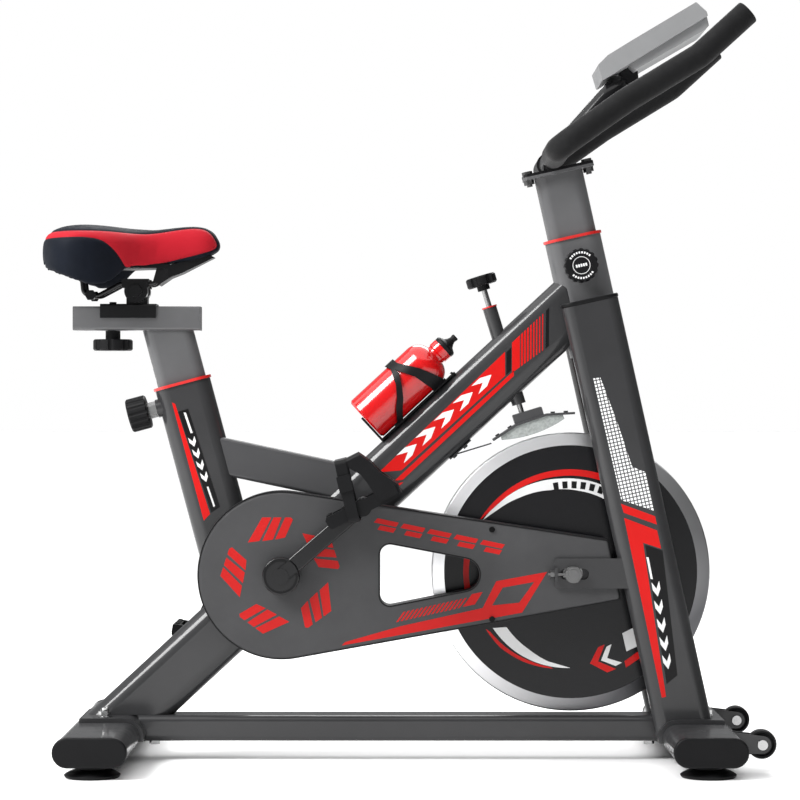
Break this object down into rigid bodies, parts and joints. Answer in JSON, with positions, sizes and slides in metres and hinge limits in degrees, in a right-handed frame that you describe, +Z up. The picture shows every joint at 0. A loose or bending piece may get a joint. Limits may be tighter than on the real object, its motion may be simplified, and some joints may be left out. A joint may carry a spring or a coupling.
{
  "type": "indoor spin bike",
  "caption": "Indoor spin bike: a diagonal tube frame on two floor bars, front flywheel driven by a covered belt, sliding saddle and handlebar, and a screw-down pad brake.",
  "frame": {"origin": "on the floor, under the centre of the bounding box", "axes": "+X towards the handlebar end of the bike, +Y towards the rider's left (away from the belt cover), +Z up"},
  "size_m": [1.021, 0.48, 1.0643],
  "materials": {
    "frame_grey": "satin",
    "post_grey": "satin",
    "black_metal": "satin",
    "red_trim": "gloss",
    "black_plastic": "matte",
    "cover_plastic": "matte",
    "chrome": "polished",
    "steel": "satin",
    "flywheel_iron": "gloss disc, polished rim",
    "belt_rubber": "matte",
    "foam_rubber": "matte",
    "aluminium": "satin",
    "felt": "matte",
    "saddle_cover": "matte",
    "silver_plastic": "satin",
    "screen": "gloss",
    "bottle_red": "gloss"
  },
  "bodies": {
    "frame": {"rear_stabilizer": "frame_grey", "front_stabilizer": "frame_grey", "tube_end_caps": "black_plastic", "frame_fasteners": "chrome", "base_tube": "frame_grey", "main_tube": "frame_grey", "seat_tube": "frame_grey", "cross_brace": "frame_grey", "head_tube": "frame_grey", "fork_legs": "frame_grey", "bottom_bracket_shell": "black_metal", "bottom_bracket_bearings": "steel", "belt_cover_outer": "cover_plastic", "belt_cover_inner": "cover_plastic", "drive_belt": "belt_rubber", "flywheel_axle": "chrome", "belt_tensioners": "chrome", "tube_collars": "red_trim", "bottle_cage": "black_plastic"},
    "foot_rear_right": {"foot_rear_right": "black_plastic"},
    "foot_rear_left": {"foot_rear_left": "black_plastic"},
    "foot_front_right": {"foot_front_right": "black_plastic"},
    "foot_front_left": {"foot_front_left": "black_plastic"},
    "seat_post": {"seat_post": "post_grey"},
    "seat_bush": {"seat_pin_bush": "steel"},
    "seat_pin": {"seat_pin_knob": "black_plastic"},
    "saddle_carriage": {"saddle_carriage": "black_metal"},
    "carriage_knob": {"carriage_knob": "black_plastic"},
    "saddle": {"saddle_clamp": "black_metal", "saddle_rails": "black_metal", "saddle_shell": "black_plastic", "saddle_cushion": "saddle_cover"},
    "handlebar": {"handlebar_post": "post_grey", "handlebar_frame": "black_metal", "handlebar_grips": "foam_rubber", "handlebar_bolts": "chrome", "console_housing": "silver_plastic", "console_screen": "screen"},
    "console_button": {"console_button": "red_trim"},
    "post_bush": {"post_pin_bush": "steel"},
    "post_pin": {"post_pin_knob": "black_plastic"},
    "cranks": {"crank_spindle": "steel", "crank_right": "black_metal", "crank_left": "black_metal", "crank_pulley": "aluminium"},
    "pedal_right": {"pedal_right": "black_plastic", "toe_cage_right": "black_plastic"},
    "pedal_left": {"pedal_left": "black_plastic", "toe_cage_left": "black_plastic"},
    "flywheel": {"flywheel": "flywheel_iron", "flywheel_pulley": "aluminium"},
    "transport_wheel_right": {"transport_wheel_right": "black_plastic"},
    "transport_wheel_left": {"transport_wheel_left": "black_plastic"},
    "brake_nut": {"brake_nut": "steel"},
    "brake_carriage": {"brake_carriage": "chrome", "brake_pads": "felt"},
    "brake_screw": {"brake_screw": "steel", "brake_knob": "black_plastic"},
    "bottle": {"bottle": "bottle_red"},
    "bottle_cap": {"bottle_cap": "black_plastic"}
  },
  "joints": [
    {"name": "foot_rear_right_turn", "type": "hinge", "parent": "frame", "child": "foot_rear_right", "pos_m": [-0.418, -0.2, 0], "axis": [0, 0, 1], "continuous": true},
    {"name": "foot_rear_left_turn", "type": "hinge", "parent": "frame", "child": "foot_rear_left", "pos_m": [-0.418, 0.2, 0], "axis": [0, 0, 1], "continuous": true},
    {"name": "foot_front_right_turn", "type": "hinge", "parent": "frame", "child": "foot_front_right", "pos_m": [0.412, -0.2, 0], "axis": [0, 0, 1], "continuous": true},
    {"name": "foot_front_left_turn", "type": "hinge", "parent": "frame", "child": "foot_front_left", "pos_m": [0.412, 0.2, 0], "axis": [0, 0, 1], "continuous": true},
    {"name": "seat_height", "type": "slide", "parent": "frame", "child": "seat_post", "axis": [-0.2588, 0, 0.9659], "range_m": [-0.04, 0.14]},
    {"name": "seat_bush_turn", "type": "hinge", "parent": "frame", "child": "seat_bush", "pos_m": [-0.35988, 0, 0.49232], "axis": [-0.9659, 0, -0.2588], "range_deg": [0, 360]},
    {"name": "seat_pin_pull", "type": "slide", "parent": "seat_bush", "child": "seat_pin", "axis": [-0.9659, 0, -0.2588], "range_m": [0, 0.01], "stiffness_N_per_m": 1500, "springref_m": -0.006},
    {"name": "saddle_fore_aft", "type": "slide", "parent": "seat_post", "child": "saddle_carriage", "axis": [1, 0, 0], "range_m": [-0.035, 0.015]},
    {"name": "carriage_knob_turn", "type": "hinge", "parent": "saddle_carriage", "child": "carriage_knob", "pos_m": [-0.411, 0, 0.585], "axis": [0, 0, -1], "range_deg": [0, 360]},
    {"name": "saddle_tilt", "type": "hinge", "parent": "saddle_carriage", "child": "saddle", "pos_m": [-0.376, 0, 0.662], "axis": [0, 1, 0], "range_deg": [-3, 10]},
    {"name": "handlebar_height", "type": "slide", "parent": "frame", "child": "handlebar", "axis": [-0.2164, 0, 0.9763], "range_m": [-0.04, 0.08]},
    {"name": "console_button_press", "type": "slide", "parent": "handlebar", "child": "console_button", "axis": [0.524, 0, -0.8517], "range_m": [0, 0.0015], "stiffness_N_per_m": 800, "springref_m": -0.0005},
    {"name": "post_bush_turn", "type": "hinge", "parent": "frame", "child": "post_bush", "pos_m": [0.25047, -0.03, 0.69657], "axis": [0, -1, 0], "range_deg": [0, 360]},
    {"name": "post_pin_pull", "type": "slide", "parent": "post_bush", "child": "post_pin", "axis": [0, -1, 0], "range_m": [0, 0.01], "stiffness_N_per_m": 1500, "springref_m": -0.006},
    {"name": "flywheel_spin", "type": "hinge", "parent": "frame", "child": "flywheel", "pos_m": [0.238, 0, 0.265], "axis": [0, 1, 0], "continuous": true},
    {"name": "crank_spin", "type": "hinge", "parent": "frame", "child": "cranks", "pos_m": [-0.169, 0, 0.263], "axis": [0, 1, 0], "continuous": true},
    {"name": "pedal_right_spin", "type": "hinge", "parent": "cranks", "child": "pedal_right", "pos_m": [-0.05394, -0.142, 0.36232], "axis": [0, 1, 0], "continuous": true},
    {"name": "pedal_left_spin", "type": "hinge", "parent": "cranks", "child": "pedal_left", "pos_m": [-0.28406, 0.142, 0.16368], "axis": [0, 1, 0], "continuous": true},
    {"name": "transport_wheel_right_spin", "type": "hinge", "parent": "frame", "child": "transport_wheel_right", "pos_m": [0.4905, -0.145, 0.038], "axis": [0, 1, 0], "continuous": true},
    {"name": "transport_wheel_left_spin", "type": "hinge", "parent": "frame", "child": "transport_wheel_left", "pos_m": [0.4905, 0.145, 0.038], "axis": [0, 1, 0], "continuous": true},
    {"name": "brake_press", "type": "slide", "parent": "frame", "child": "brake_nut", "axis": [0.2924, 0, -0.9563], "range_m": [0, 0.0015], "stiffness_N_per_m": 20000, "springref_m": -0.001},
    {"name": "brake_feed", "type": "slide", "parent": "brake_nut", "child": "brake_carriage", "axis": [0.2924, 0, -0.9563], "range_m": [-0.0025, 0.00125]},
    {"name": "brake_turn", "type": "hinge", "parent": "brake_carriage", "child": "brake_screw", "pos_m": [0.11228, 0, 0.67621], "axis": [0.2924, 0, -0.9563], "range_deg": [-723, 363]},
    {"name": "bottle_slide", "type": "slide", "parent": "frame", "child": "bottle", "axis": [0.7337, 0, 0.6794], "range_m": [0, 0.03]},
    {"name": "bottle_cap_turn", "type": "hinge", "parent": "bottle", "child": "bottle_cap", "pos_m": [0.04369, 0, 0.56831], "axis": [0.7337, 0, 0.6794], "range_deg": [0, 360]}
  ],
  "couplings": [
    {"joint": "crank_spin", "follows": "flywheel_spin", "ratio": 0.3},
    {"joint": "brake_turn", "follows": "brake_feed", "rad_per_m": 5026.6}
  ]
}
